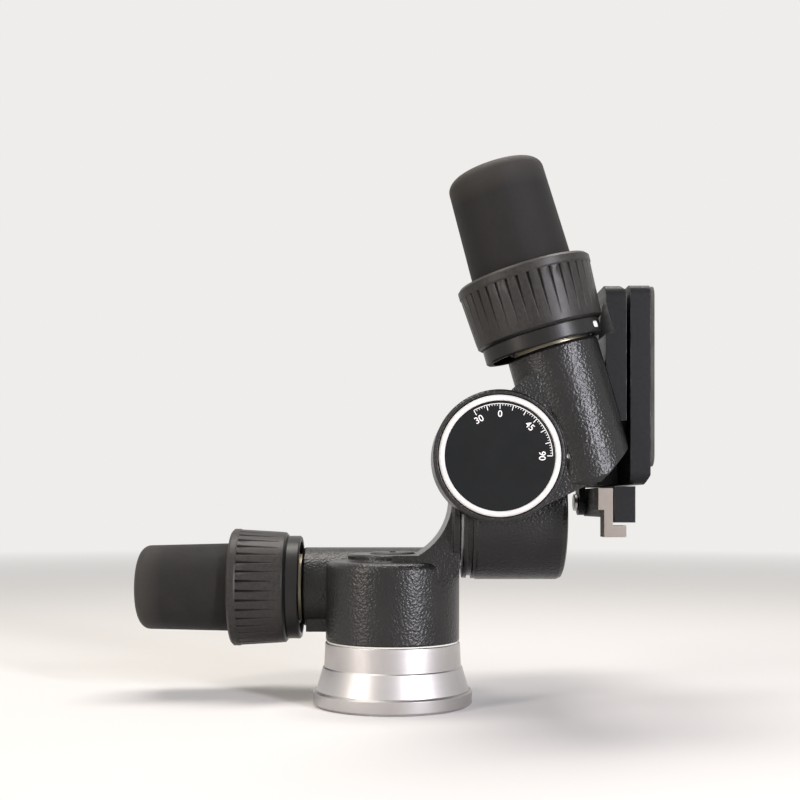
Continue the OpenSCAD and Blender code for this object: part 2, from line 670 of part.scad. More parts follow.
module front_bush() {
    on_front_face() translate([0, 0, flange_t + 0.5])
        flanged_bush(front_wheel - wheel_w / 2 - 0.6 - flange_t - 0.5);
}
module front_bearing_cover() {
    on_front_face() translate([0, 0, front_wheel + wheel_w / 2 + 0.6])
        bearing_cover(front_end - dial_t - 1 - front_wheel - wheel_w / 2 - 0.6);
}
module front_pointer() {
    color("white") translate([front_x + hub_r + 1.1, front_wheel_y - web_half - 0.15, front_z])
        rotate([-90, 0, 0]) cylinder(r = pointer_r, h = 0.7);
}

// ---- Platform -----------------------------------------------------------------------------
// A rounded plate that stands on edge: w runs along Y and h along Z
module upright_plate(w, h, r, t) {
    rotate([90, 0, 90]) linear_extrude(height = t) {
        square([w, h - 2 * r], center = true);
        square([w - 2 * r, h], center = true);
        for (sy = [-1, 1], sz = [-1, 1]) translate([sy * (w / 2 - r), sz * (h / 2 - r)]) circle(r = r);
    }
}

screw_column = -20.6;
module at_platform_screws() {
    for (z = [8.5, 20.5, 32.5]) translate([platform_x, screw_column, platform_z0 + z]) rotate([0, 90, 0])
        children();
}

pivot_y = 22;
pivot_z = platform_z0 - 6;
window_r = 15;
platform_hollows = [[18, 4, 19, 25], [18, -29, 19, 25], [-14, 18.5, 28, 12], [-14, -30.5, 28, 12]];
module platform() {
    color("#1d1d1d") difference() {
        union() {
            translate([platform_x, 0, platform_mid_z])
                upright_plate(2 * platform_half, platform_w, 5, platform_t);
            // lug for the lever's pivot
            translate([platform_x, pivot_y, pivot_z]) rotate([0, 90, 0]) cylinder(r = 5, h = 2.4);
            translate([platform_x, pivot_y - 5, pivot_z]) cube([2.4, 10, 12]);
        }
        // the tube of the front casting passes through the near edge
        in_front() on_sleeve() translate([0, 0, -40]) cylinder(r = tube_r + 0.1, h = 110);
        translate([platform_x - 1, -platform_half - 1, platform_z0 - 1])
            cube([platform_t + 2, platform_half + 1 + front_wheel_y + tube_r - 3, front_z + 13.5 - platform_z0]);
        // bevel of the outer top edge
        translate([platform_out, -60, platform_z1 - 2]) rotate([0, -45, 0]) cube([10, 120, 10]);
        translate([platform_x - 1, 0, platform_mid_z]) rotate([0, 90, 0])
            cylinder(r = window_r, h = platform_t + 2);
        // room for the front collar as it swings out
        in_front() on_worm() translate([0, 0, front_collar - 1])
            cylinder(r = collar_foot_r + 0.2 + release_out + 0.6, h = 20);
        // hollows on the side that looks back
        for (p = platform_hollows) translate([platform_x - 1, p[0], platform_mid_z + p[1]])
            cube([platform_t - 1.4, p[2], p[3]]);
        at_platform_screws() {
            translate([0, 0, -1]) cylinder(r = 2.2, h = platform_t + 2);
            translate([0, 0, platform_t - 2.4]) cylinder(r = 3.7, h = 5);
        }
        translate([platform_x - 1, pivot_y, pivot_z]) rotate([0, 90, 0]) cylinder(r = 2 + snug, h = 9);
    }
}

module platform_screws() {
    color("gray") at_platform_screws() socket_screw(2, 3.5, platform_t - 0.5, 6, platform_t - 2.4);
}

level_z = 26;
module level_housing() {
    color("#222222") translate([platform_x + 1, platform_half, platform_mid_z]) difference() {
        translate([0, 2.6, 0]) rotate([90, 0, 0]) translate([2.5, 0, -2.6]) linear_extrude(height = 5.2) {
            square([5, level_z - 5], center = true);
            for (s = [-1, 1]) translate([0, s * (level_z / 2 - 2.5)]) circle(r = 2.5);
        }
        translate([2.5, 3, -level_z / 2 + 3]) cylinder(r = 1.7 + snug, h = level_z - 6);
        translate([1.2, 3.4, -level_z / 2 + 5]) cube([2.6, 4, level_z - 10]);
    }
}
module level_vial() {
    color("#b8d84a") translate([platform_x + 3.5, platform_half + 3, platform_mid_z - level_z / 2 + 3.1])
        cylinder(r = 1.7, h = level_z - 6.2);
}

// ---- Quick-release lever ------------------------------------------------------------------
lever_x = platform_x + 2.8;
lever_t = 7.2;
module lever_pivot() {
    color("silver") translate([platform_x - 0.6, pivot_y, pivot_z]) rotate([0, 90, 0]) {
        cylinder(r = 2, h = lever_t + 4.2);
        translate([0, 0, -1]) turned_disc(3.4, 1.5, 0.3);
    }
}
module lock_lever() {
    low = pivot_z - 7;
    color("#141414") difference() {
        union() {
            translate([lever_x, pivot_y, pivot_z]) rotate([0, 90, 0]) cylinder(r = 5.4, h = lever_t);
            translate([lever_x, -platform_half, pivot_z - 5.4]) cube([lever_t, platform_half + pivot_y, 10.8]);
            translate([lever_x, -platform_half, low]) cube([lever_t, 22, 4]);
        }
        translate([lever_x - 1, pivot_y, pivot_z]) rotate([0, 90, 0])
            cylinder(r = 2 + running, h = lever_t + 2);
        translate([lever_x + 1.8, -platform_half + 26, pivot_z - 2.6]) cube([lever_t, 26, 5.2]);
    }
}
module safety_catch() {
    near = -platform_half + 0.4;
    color("silver") {
        translate([lever_x - 5.4, near, pivot_z - 2.7]) cube([5, 8, 7.5]);
        translate([lever_x - 3.4, near, pivot_z - 12]) cube([3, 8, 9.3]);
        translate([lever_x - 0.4, near, pivot_z - 12]) cube([4.6, 8, 4]);
    }
}

// ---- Camera plate -------------------------------------------------------------------------
ring_recess = 11;
module camera_plate() {
    slab = plate_t - 1.4;
    color("#232323") translate([plate_x, 0, platform_mid_z]) difference() {
        union() {
            upright_plate(2 * platform_half, platform_w, 4, slab);
            translate([-plate_gap, 0, 0]) upright_plate(2 * platform_half - 18, platform_w - 20, 4, plate_gap + 0.1);
        }
        for (s = [-1, 1]) translate([-plate_gap - 1, s * 23.5 - 9.5, -20]) cube([plate_t - 1.4 - 1.8, 19, 40]);
        translate([-plate_gap - 1, 0, 0]) rotate([0, 90, 0]) {
            cylinder(r = camera_screw_r + 0.2, h = 20);
            cylinder(r = ring_recess, h = plate_gap + 4.2);
        }
        // cut corner of the lower outer edge
        translate([slab - 1.7, -60, -platform_w / 2]) rotate([0, 28, 0]) translate([0, 0, -12])
            cube([10, 120, 18]);
    }
}
module plate_pad() {
    color("#2a2926") translate([plate_x + plate_t - 1.4, 0, platform_mid_z + 3]) difference() {
        upright_plate(2 * platform_half - 0.6, platform_w - 6.6, 4, 1.4);
        translate([-1, 0, -3]) rotate([0, 90, 0]) cylinder(r = camera_screw_r + 0.6, h = 4);
    }
}

ring_x = plate_x + 0.9;
module camera_screw() {
    color("silver") translate([plate_x + 0.2, 0, platform_mid_z]) rotate([0, 90, 0]) difference() {
        union() {
            translate([0, 0, 0.6]) turned_disc(6.6, 2, 0.3);
            translate([0, 0, 1.5]) cylinder(r = camera_screw_r - 0.55, h = plate_t);
            translate([0, 0, plate_t]) cylinder(r = camera_screw_r, h = camera_screw_out - 0.2);
        }
        translate([-0.7, -5, 0]) cube([1.4, 10, 1.2]);
    }
}
module screw_ring() {
    bend_r = 8.3;
    color("silver") translate([ring_x, 0, platform_mid_z]) rotate([90, 0, 90]) {
        rotate_extrude(angle = 180) translate([bend_r, 0]) circle(r = 0.65, $fn = 24);
        for (s = [-1, 1]) translate([s * bend_r, 0, 0]) rotate([0, s * -90, 0])
            cylinder(r = 0.65, h = 1.4, $fn = 24);
    }
}

// ---- Named pieces of each worm drive --------------------------------------------------------
module pan_release_collar() { in_pan() release_collar(pan_collar); }
module pan_eccentric_sleeve() { in_pan() eccentric_sleeve(pan_collar); }
module pan_release_spring() { in_pan() release_spring(pan_collar); }
module pan_worm_shaft() { in_pan() worm_shaft(pan_collar); }
module pan_knob_core() { in_pan() knob_core(pan_collar); }
module pan_knob_grip() { in_pan() knob_grip(pan_collar); }
module lateral_release_collar() { in_lateral() release_collar(lateral_collar); }
module lateral_eccentric_sleeve() { in_lateral() eccentric_sleeve(lateral_collar); }
module lateral_release_spring() { in_lateral() release_spring(lateral_collar); }
module lateral_worm_shaft() { in_lateral() worm_shaft(lateral_collar); }
module lateral_knob_core() { in_lateral() knob_core(lateral_collar); }
module lateral_knob_grip() { in_lateral() knob_grip(lateral_collar); }
module front_release_collar() { in_front() release_collar(front_collar); }
module front_eccentric_sleeve() { in_front() eccentric_sleeve(front_collar); }
module front_release_spring() { in_front() release_spring(front_collar); }
module front_worm_shaft() { in_front() worm_shaft(front_collar); }
module front_knob_core() { in_front() knob_core(front_collar); }
module front_knob_grip() { in_front() knob_grip(front_collar); }

base_ring();
base_screws();
pan_spindle();
pan_worm_wheel();
pan_thrust_washer();
pan_housing();
pan_bush();
pan_top_plug();
lateral_spindle();
lateral_spindle_screws();
lateral_worm_wheel();
lateral_dial();
lateral_dial_ring();
pan_release_collar();
pan_eccentric_sleeve();
pan_release_spring();
pan_worm_shaft();
pan_knob_core();
pan_knob_grip();
lateral_housing();
lateral_bush();
lateral_bearing_cover();
lateral_pointer();
front_spindle();
front_spindle_screws();
front_worm_wheel();
front_dial();
front_dial_ring();
lateral_release_collar();
lateral_eccentric_sleeve();
lateral_release_spring();
lateral_worm_shaft();
lateral_knob_core();
lateral_knob_grip();
front_casting();
front_bush();
front_bearing_cover();
front_pointer();
front_release_collar();
front_eccentric_sleeve();
front_release_spring();
front_worm_shaft();
front_knob_core();
front_knob_grip();
platform();
platform_screws();
level_housing();
level_vial();
lever_pivot();
lock_lever();
safety_catch();
camera_plate();
plate_pad();
camera_screw();
screw_ring();
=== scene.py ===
# %% [markdown]
# # A geared tripod head
#
# A geared head holds a camera on a tripod and turns it by three knobs, each on a worm drive. The
# working solids are ready: bearings, wheels, worms, castings and knobs. This notebook puts a
# camera and a small studio round them, gives every solid a finish made of shader nodes, and adds
# the fine pieces that are worth modelling, such as dial scales and screw threads.

# %% Load the solids
import math

import bmesh
import bpy
from mathutils import Matrix, Vector


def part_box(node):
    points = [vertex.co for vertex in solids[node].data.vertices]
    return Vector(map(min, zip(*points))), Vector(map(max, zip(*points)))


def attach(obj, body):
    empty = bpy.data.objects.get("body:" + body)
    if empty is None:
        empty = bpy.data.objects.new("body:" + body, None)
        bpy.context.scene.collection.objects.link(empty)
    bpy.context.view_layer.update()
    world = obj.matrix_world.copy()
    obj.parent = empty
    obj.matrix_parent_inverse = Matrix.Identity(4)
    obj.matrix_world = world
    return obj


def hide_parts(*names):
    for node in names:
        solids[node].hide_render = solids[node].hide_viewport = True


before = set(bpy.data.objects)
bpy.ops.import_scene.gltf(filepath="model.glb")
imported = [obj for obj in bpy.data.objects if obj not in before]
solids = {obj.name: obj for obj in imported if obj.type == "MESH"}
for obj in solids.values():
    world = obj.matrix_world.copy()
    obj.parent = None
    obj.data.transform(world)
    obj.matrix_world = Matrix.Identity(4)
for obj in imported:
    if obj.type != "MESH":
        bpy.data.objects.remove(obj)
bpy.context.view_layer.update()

# %% [markdown]
# ## The camera
#
# The head is seen from its dial side, a little under half a metre away, with the lens level. The
# picture's horizon lies below its middle. A tilted camera would make upright edges lean, so the
# lens is shifted instead, as a photographer does with a view camera.

# %% Set up the camera
FOCAL_PIXELS = 1189
FRAME_PIXELS = 800
lens = bpy.data.cameras.new("dial_side_lens")
lens.sensor_fit = "HORIZONTAL"
lens.sensor_width = 36
lens.lens = 36 * FOCAL_PIXELS / FRAME_PIXELS
lens.shift_y = 105 / FRAME_PIXELS
lens.clip_start = 0.01
camera = bpy.data.objects.new("dial_side_camera", lens)
camera.location = (0.0028, -0.450, 0.075)
camera.rotation_euler = (math.pi / 2, 0, 0)
bpy.context.scene.collection.objects.link(camera)
bpy.context.scene.camera = camera
print("lens", round(lens.lens, 1), "mm")

# %% [markdown]
# ## The studio
#
# A dark object is shaped by what it mirrors. A narrow, tall strip box at the right gives the long
# highlight down each round tube. A wide box overhead lights the tops of the knobs, and a warm
# one at the left fills the shadows. The floor is plain and pale and catches the
# shadow. The sky is one pale tone for the eye, for mirrors and through glass, and a dimmer one
# for the light it sends. A Light Path node tells these rays apart.


# %% Build the floor, the sky and the lamps
def make_lamp(name, place, aim, width, height, watts, tint):
    data = bpy.data.lights.new(name, "AREA")
    data.shape = "RECTANGLE"
    data.size, data.size_y = width, height
    data.energy, data.color = watts, tint
    lamp = bpy.data.objects.new(name, data)
    lamp.location = place
    lamp.rotation_euler = (Vector(aim) - Vector(place)).to_track_quat("-Z", "Y").to_euler()
    bpy.context.scene.collection.objects.link(lamp)
    return lamp


HEAD_MIDDLE = (0.03, 0, 0.11)
SKY_TINT = (1.0, 0.985, 0.965, 1)
SKY_TO_THE_EYE = 0.86
SKY_TO_THE_SOLIDS = 0.22
make_lamp("strip_box_right", (0.66, -0.80, 0.30), HEAD_MIDDLE, 0.12, 0.8, 13, (0.93, 0.91, 1.0))
make_lamp("soft_box_left", (-0.80, -0.60, 0.45), HEAD_MIDDLE, 0.20, 0.9, 6, (1.0, 0.92, 0.85))
make_lamp("top_box", (-0.05, 0.20, 0.90), HEAD_MIDDLE, 0.8, 0.30, 6.5, (1.0, 0.95, 0.90))

floor_mesh = bmesh.new()
bmesh.ops.create_circle(floor_mesh, cap_ends=True, segments=96, radius=4)
floor_data = bpy.data.meshes.new("studio_floor")
floor_mesh.to_mesh(floor_data)
floor_mesh.free()
floor = bpy.data.objects.new("studio_floor", floor_data)
bpy.context.scene.collection.objects.link(floor)

sky = bpy.data.worlds.new("studio_sky")
bpy.context.scene.world = sky
sky.use_nodes = True
sky_nodes, sky_links = sky.node_tree.nodes, sky.node_tree.links
path = sky_nodes.new("ShaderNodeLightPath")
seen = path.outputs["Is Camera Ray"]
for other_ray in ("Is Glossy Ray", "Is Transmission Ray"):
    either = sky_nodes.new("ShaderNodeMath")
    either.operation = "MAXIMUM"
    sky_links.new(seen, either.inputs[0])
    sky_links.new(path.outputs[other_ray], either.inputs[1])
    seen = either.outputs[0]
shade = sky_nodes.new("ShaderNodeMapRange")
shade.inputs["To Min"].default_value = SKY_TO_THE_SOLIDS
shade.inputs["To Max"].default_value = SKY_TO_THE_EYE
sky_links.new(seen, shade.inputs["Value"])
backdrop = sky_nodes["Background"]
backdrop.inputs["Color"].default_value = SKY_TINT
sky_links.new(shade.outputs[0], backdrop.inputs["Strength"])
bpy.context.scene.view_settings.view_transform = "Standard"
print("three lamps, a floor and a sky")

# %% [markdown]
# ## Helpers for the finishes
#
# Every finish below is a small graph of shader nodes. `add` makes a node and fills or wires its
# sockets in one line, so that each finish can be read from top to bottom. All patterns use the
# Object coordinates. The solids sit at the origin, so those are metres on the real head, and a
# grain of a tenth of a millimetre is written as what it is.


# %% Define the node helpers
def wire(material, value, socket):
    if isinstance(value, bpy.types.NodeSocket):
        material.node_tree.links.new(value, socket)
    else:
        socket.default_value = value


def add(material, kind, inputs=(), **settings):
    made = material.node_tree.nodes.new("ShaderNode" + kind)
    for name, value in settings.items():
        setattr(made, name, value)
    for name, value in dict(inputs).items():
        wire(material, value, made.inputs[name])
    return made


def place_on(material):
    return add(material, "TexCoord").outputs["Object"]


def grain(material, per_metre, detail=3.0, stretch=(1, 1, 1), roughness=0.5):
    spot = add(material, "Mapping", {"Vector": place_on(material), "Scale": stretch}).outputs[0]
    return add(material, "TexNoise", {"Vector": spot, "Scale": per_metre, "Detail": detail,
                                      "Roughness": roughness}).outputs["Fac"]


def between(material, value, low, high, to_low=0.0, to_high=1.0):
    return add(material, "MapRange", {"Value": value, "From Min": low, "From Max": high,
                                      "To Min": to_low, "To Max": to_high}).outputs[0]


def mixed(material, share, first, second):
    first, second = [c if isinstance(c, bpy.types.NodeSocket) else (*c, 1) for c in (first, second)]
    return add(material, "Mix", {0: share, 6: first, 7: second}, data_type="RGBA").outputs[2]


def combine(material, kind, first, second):
    return add(material, "Math", {0: first, 1: second}, operation=kind).outputs[0]


def soft_edge(material, radius):
    return add(material, "Bevel", {"Radius": radius}, samples=6).outputs[0]


def edge_share(material, radius, low=0.03, high=0.35):
    """0 on a flat face, rising to 1 on an edge, where handling wears a finish first."""
    facing = add(material, "VectorMath", {0: soft_edge(material, radius),
                                          1: add(material, "NewGeometry").outputs["Normal"]},
                 operation="DOT_PRODUCT").outputs["Value"]
    return between(material, facing, 1 - low, 1 - high)


def relief(material, height, depth, radius=0.0003, strength=1.0):
    return add(material, "Bump", {"Height": height, "Distance": depth, "Strength": strength,
                                  "Normal": soft_edge(material, radius)}).outputs[0]


def new_finish(name, colour, roughness, metallic=0.0):
    material = bpy.data.materials.new(name)
    material.use_nodes = True
    shader = material.node_tree.nodes["Principled BSDF"]
    shader.inputs["Base Color"].default_value = (*colour, 1)
    shader.inputs["Roughness"].default_value = roughness
    shader.inputs["Metallic"].default_value = metallic
    return material, shader


def set_finish(material, shader, **sockets):
    for name, value in sockets.items():
        wire(material, value, shader.inputs[name.replace("_", " ")])


def dress(material, *names):
    for name in names:
        for place in solids[name].material_slots:
            place.material = material
    print(material.name, "on", ", ".join(names))


# %% [markdown]
# ## The floor's finish
#
# Painted board has almost no pattern. A very faint drift of tone keeps it from looking like a
# flat fill, and the high roughness stops it from mirroring the lamps. Far from the head the board
# fades into the sky's own tone, so the eye finds no horizon, as on a photographer's paper sweep.

# %% Finish the floor
studio_board, shader = new_finish("studio_board", (0.8, 0.79, 0.775), 0.85)
drift = grain(studio_board, 3.0, 2.0)
set_finish(studio_board, shader,
           Base_Color=mixed(studio_board, drift, (0.77, 0.76, 0.745), (0.81, 0.80, 0.785)))
outward = add(studio_board, "VectorMath", {0: place_on(studio_board)},
              operation="LENGTH").outputs["Value"]
sky_glow = add(studio_board, "Emission",
               {"Color": SKY_TINT, "Strength": SKY_TO_THE_EYE}).outputs[0]
fade = combine(studio_board, "MULTIPLY", between(studio_board, outward, 0.35, 1.6),
               add(studio_board, "LightPath").outputs["Is Camera Ray"])
board_or_sky = add(studio_board, "MixShader", {0: fade, 1: shader.outputs[0], 2: sky_glow})
wire(studio_board, board_or_sky.outputs[0],
     studio_board.node_tree.nodes["Material Output"].inputs["Surface"])
floor_data.materials.append(studio_board)
print("floor painted")

# %% [markdown]
# ## Crinkle paint on the castings
#
# The three castings are aluminium under a fine black crinkle paint, which hides the cast surface.
# Close up it is a web of tiny soft ridges. A Voronoi texture gives the cells between them, and a
# noise bends it first, so no cell looks round. The paint is a little thinner on the edges, so it
# is a trace lighter there. A bump is enough, because a ridge is far lower than a pixel is wide.

# %% Finish the castings
crinkle_paint, shader = new_finish("crinkle_paint", (0.017, 0.016, 0.0155), 0.40)
spot = place_on(crinkle_paint)
bend = add(crinkle_paint, "TexNoise",
           {"Vector": spot, "Scale": 1300.0, "Detail": 2.0}).outputs["Color"]
bent = add(crinkle_paint, "VectorMath", {0: bend, 1: (0.0007, 0.0007, 0.0007), 2: spot},
           operation="MULTIPLY_ADD")
cells = add(crinkle_paint, "TexVoronoi", {"Vector": bent.outputs[0], "Scale": 1250.0},
            feature="SMOOTH_F1").outputs["Distance"]
patches = grain(crinkle_paint, 60.0, 4.0)
thin = edge_share(crinkle_paint, 0.0009)
tone = mixed(crinkle_paint, patches, (0.006, 0.0058, 0.0056), (0.012, 0.0112, 0.0106))
set_finish(crinkle_paint, shader,
           Base_Color=mixed(crinkle_paint, thin, tone, (0.035, 0.033, 0.031)),
           Roughness=between(crinkle_paint, patches, 0.3, 0.7, 0.27, 0.35),
           Normal=relief(crinkle_paint, cells, 0.00026, 0.0006, 0.75))
shader.inputs["Specular IOR Level"].default_value = 0.42
dress(crinkle_paint, "pan_housing", "lateral_housing", "front_casting")

# %% [markdown]
# ## Turned aluminium
#
# The base is turned on a lathe and left bare, with a satin finish. The tool leaves rings finer
# than the eye can count, so each highlight is stretched across them. A noise that is squeezed
# along the height and left long round the circle makes those rings, and the shader's own
# anisotropy spreads the light. Small dull clouds are the marks of hands.


# %% Finish the base
def turned_metal(name, colour, roughness, ring_depth, ring_scale=6000.0, axis=2):
    material, shader = new_finish(name, colour, roughness, 1.0)
    apart = add(material, "SeparateXYZ", {"Vector": place_on(material)})
    others = [apart.outputs[i] for i in range(3) if i != axis]
    squares = [combine(material, "MULTIPLY", o, o) for o in others]
    away = add(material, "Math", {0: combine(material, "ADD", *squares)},
               operation="SQRT").outputs[0]
    ring_place = add(material, "CombineXYZ", {0: apart.outputs[axis], 1: away}).outputs[0]
    rings = add(material, "TexNoise",
                {"Vector": ring_place, "Scale": ring_scale, "Detail": 3.0}).outputs["Fac"]
    clouds = grain(material, 55.0, 5.0)
    dark = [c * 0.8 for c in colour]
    set_finish(material, shader,
               Base_Color=mixed(material, between(material, clouds, 0.35, 0.7), colour, dark),
               Roughness=combine(material, "ADD", between(material, clouds, 0.3, 0.7, 0.0, 0.10),
                                 between(material, rings, 0.3, 0.7,
                                         roughness - 0.05, roughness + 0.05)),
               Normal=relief(material, rings, ring_depth, 0.0002, 0.5))
    shader.inputs["Anisotropic"].default_value = 0.5
    return material


satin_aluminium = turned_metal("satin_aluminium", (0.50, 0.48, 0.475), 0.30, 0.00002)
dress(satin_aluminium, "base_ring")

# %% [markdown]
# ## Steel, bronze and the plastics inside
#
# Screws, spindles and worm shafts are steel, and the worm wheels and bushes are bronze. The steel
# parts and the wheels share the turned finish, with other colours, and the bushes take the acetal
# one. The thrust washer is acetal, a pale slippery plastic, and the bearing covers are moulded
# with glass fibre, which gives a fine grey fleck.

# %% Finish the inner pieces
machined_steel = turned_metal("machined_steel", (0.55, 0.545, 0.54), 0.28, 0.00001, 9000.0)
dress(machined_steel, "base_screws", "pan_spindle", "lateral_spindle", "front_spindle",
      "lateral_spindle_screws", "front_spindle_screws", "platform_screws", "pan_worm_shaft",
      "lateral_worm_shaft", "front_worm_shaft", "lever_pivot", "screw_ring")
bearing_bronze = turned_metal("bearing_bronze", (0.60, 0.40, 0.19), 0.32, 0.00001, 7000.0)
dress(bearing_bronze, "pan_worm_wheel", "lateral_worm_wheel", "front_worm_wheel")
spring_wire = turned_metal("spring_wire", (0.28, 0.28, 0.29), 0.35, 0.000005, 12000.0)
dress(spring_wire, "pan_release_spring", "lateral_release_spring", "front_release_spring")
sleeve_metal = turned_metal("sleeve_metal", (0.56, 0.50, 0.38), 0.30, 0.00001)
dress(sleeve_metal, "pan_eccentric_sleeve", "lateral_eccentric_sleeve", "front_eccentric_sleeve",
      "pan_knob_core", "lateral_knob_core", "front_knob_core")

washer_acetal, shader = new_finish("washer_acetal", (0.80, 0.79, 0.73), 0.42)
set_finish(washer_acetal, shader, Base_Color=mixed(washer_acetal, grain(washer_acetal, 300.0),
                                                   (0.76, 0.75, 0.68), (0.84, 0.83, 0.78)))
dress(washer_acetal, "pan_thrust_washer", "pan_bush", "lateral_bush", "front_bush")

cover_moulding, shader = new_finish("cover_moulding", (0.045, 0.045, 0.046), 0.5)
fleck = between(cover_moulding, grain(cover_moulding, 4000.0, 1.0, (1, 1, 0.2)), 0.55, 0.7)
set_finish(cover_moulding, shader,
           Base_Color=mixed(cover_moulding, fleck, (0.035, 0.035, 0.036), (0.09, 0.09, 0.09)),
           Normal=relief(cover_moulding, grain(cover_moulding, 2500.0), 0.00003))
dress(cover_moulding, "lateral_bearing_cover", "front_bearing_cover", "pan_top_plug",
      "level_housing")

# %% [markdown]
# ## Knobs: ribbed collars and rubber grips
#
# Each knob has two parts. The ribbed collar is moulded nylon and is twisted to lift the worm out
# of mesh. The grip past it is a rubber sleeve and turns the worm. Both wear where fingers hold
# them, and both carry a painted highlight: the collar's rim and the grip's end are painted lighter.
# So their finishes have to know how far a point lies along the knob's axis and how far from it.
# Plain vector maths gives both numbers from the axis's start and direction.


# %% Define the knob finishes
def along_and_away(material, start, direction):
    offset = add(material, "VectorMath", {0: place_on(material), 1: start},
                 operation="SUBTRACT").outputs[0]
    along = add(material, "VectorMath", {0: offset, 1: direction},
                operation="DOT_PRODUCT").outputs["Value"]
    line = add(material, "VectorMath", {0: offset, 1: direction},
               operation="CROSS_PRODUCT").outputs[0]
    away = add(material, "VectorMath", {0: line}, operation="LENGTH").outputs["Value"]
    return along, away


def collar_finish(name, start, direction):
    material, shader = new_finish(name, (0.03, 0.028, 0.027), 0.38)
    along, away = along_and_away(material, start, direction)
    # the collar widens from its foot to its rim, so the radius where rubbing starts grows with it
    crest = between(material, along, 0.008, 0.0238, 0.0221, 0.0230)
    crest = combine(material, "ADD", crest, -0.0006)
    # real wear first: the crests are rubbed lighter where fingers hold them
    wear_and_rim_highlight = between(material, combine(material, "SUBTRACT", away, crest), 0.0, 0.0007)
    # painted highlight: the top band of the rim is painted lighter, as where it faces the lamps
    # above
    rim_painted_highlight = combine(material, "MULTIPLY", between(material, along, 0.0234, 0.0250),
                  between(material, away, 0.0195, 0.0225))
    scuffs = between(material, grain(material, 900.0, 6.0, roughness=0.7), 0.25, 0.70)
    # from here the mask holds both the real rubbing on the crests and the painted rim highlight
    wear_and_rim_highlight = combine(material, "MULTIPLY", combine(material, "MAXIMUM", wear_and_rim_highlight, rim_painted_highlight), scuffs)
    mottled = mixed(material, grain(material, 90.0, 4.0),
                    (0.006, 0.0055, 0.0052), (0.012, 0.011, 0.0104))
    set_finish(material, shader,
               Base_Color=mixed(material, wear_and_rim_highlight, mottled, (0.034, 0.030, 0.027)),
               Roughness=between(material, wear_and_rim_highlight, 0, 1, 0.34, 0.5),
               Normal=relief(material, grain(material, 2600.0, 2.0), 0.00003, 0.0004, 0.6))
    shader.inputs["Specular IOR Level"].default_value = 0.32
    return material


def grip_finish(name, start, direction):
    material, shader = new_finish(name, (0.045, 0.043, 0.042), 0.72)
    along, away = along_and_away(material, start, direction)
    # painted highlight: the grip is painted lighter toward its end, as a lit knob top looks; the
    # dust mottling below is the rubber's own
    painted_end_highlight = between(material, along, 0.0535, 0.0640)
    dust = between(material, grain(material, 130.0, 6.0, roughness=0.65), 0.35, 0.75)
    streaks = grain(material, 700.0, 3.0)
    base = mixed(material, streaks, (0.007, 0.0066, 0.0063), (0.012, 0.0112, 0.0106))
    dusty = mixed(material, combine(material, "MULTIPLY", dust, 0.25), base, (0.040, 0.036, 0.033))
    set_finish(material, shader,
               Base_Color=mixed(material, combine(material, "MULTIPLY", painted_end_highlight, 0.30),
                                dusty, (0.11, 0.098, 0.086)),
               Roughness=between(material, dust, 0, 1, 0.62, 0.82),
               Normal=relief(material, grain(material, 5200.0, 2.0), 0.00005, 0.0005, 0.7))
    shader.inputs["Specular IOR Level"].default_value = 0.22
    shader.inputs["Sheen Weight"].default_value = 0.02
    return material


# %% Finish the three knobs
LEAN = math.radians(16)
PAN_KNOB = (Vector((-0.0365, 0.0262, 0.0422)), Vector((-1, 0, 0)))
LATERAL_KNOB = (Vector((0.0450, 0.0284, 0.0972)), Vector((0, 1, 0)))
FRONT_AXIS = Vector((-math.sin(LEAN), 0, math.cos(LEAN)))
FRONT_WORM = Vector((0.061185, -0.040, 0.098522))
FRONT_KNOB = (FRONT_WORM + 0.0313 * FRONT_AXIS, FRONT_AXIS)
KNOBS = {"pan": PAN_KNOB, "lateral": LATERAL_KNOB, "front": FRONT_KNOB}
for stage_name, knob in KNOBS.items():
    dress(collar_finish(stage_name + "_collar_nylon", *knob), stage_name + "_release_collar")
    dress(grip_finish(stage_name + "_grip_rubber", *knob), stage_name + "_knob_grip")

# %% [markdown]
# ## Dials, platform, lever and level
#
# The dials are black discs in white rings. The platform and the camera plate are aluminium with a
# black anodised skin, which is thin and wears to grey on its corners. The catch under the
# platform is bare metal, and the pad is rubber. The level is a small tube of tinted glass.

# %% Finish the dials
dial_black, shader = new_finish("dial_black", (0.016, 0.017, 0.018), 0.34)
set_finish(dial_black, shader,
           Base_Color=mixed(dial_black, grain(dial_black, 80.0),
                            (0.007, 0.0078, 0.0082), (0.011, 0.012, 0.0125)),
           Roughness=between(dial_black, grain(dial_black, 220.0, 5.0), 0.3, 0.7, 0.30, 0.36),
           Normal=relief(dial_black, grain(dial_black, 1800.0), 0.000012))
shader.inputs["Specular IOR Level"].default_value = 0.16
dress(dial_black, "front_dial", "lateral_dial")
ring_white, shader = new_finish("ring_white", (0.80, 0.79, 0.77), 0.4)
set_finish(ring_white, shader,
           Base_Color=mixed(ring_white,
                            between(ring_white, grain(ring_white, 160.0, 5.0), 0.4, 0.75),
                            (0.70, 0.69, 0.67), (0.58, 0.56, 0.53)),
           Normal=relief(ring_white, grain(ring_white, 2000.0), 0.00001, 0.0003))
dress(ring_white, "front_dial_ring", "lateral_dial_ring")
mark_paint, shader = new_finish("mark_paint", (0.84, 0.83, 0.80), 0.5)
set_finish(mark_paint, shader, Base_Color=mixed(mark_paint, grain(mark_paint, 900.0, 4.0),
                                                (0.76, 0.75, 0.72), (0.90, 0.89, 0.87)))
dress(mark_paint, "front_pointer", "lateral_pointer")

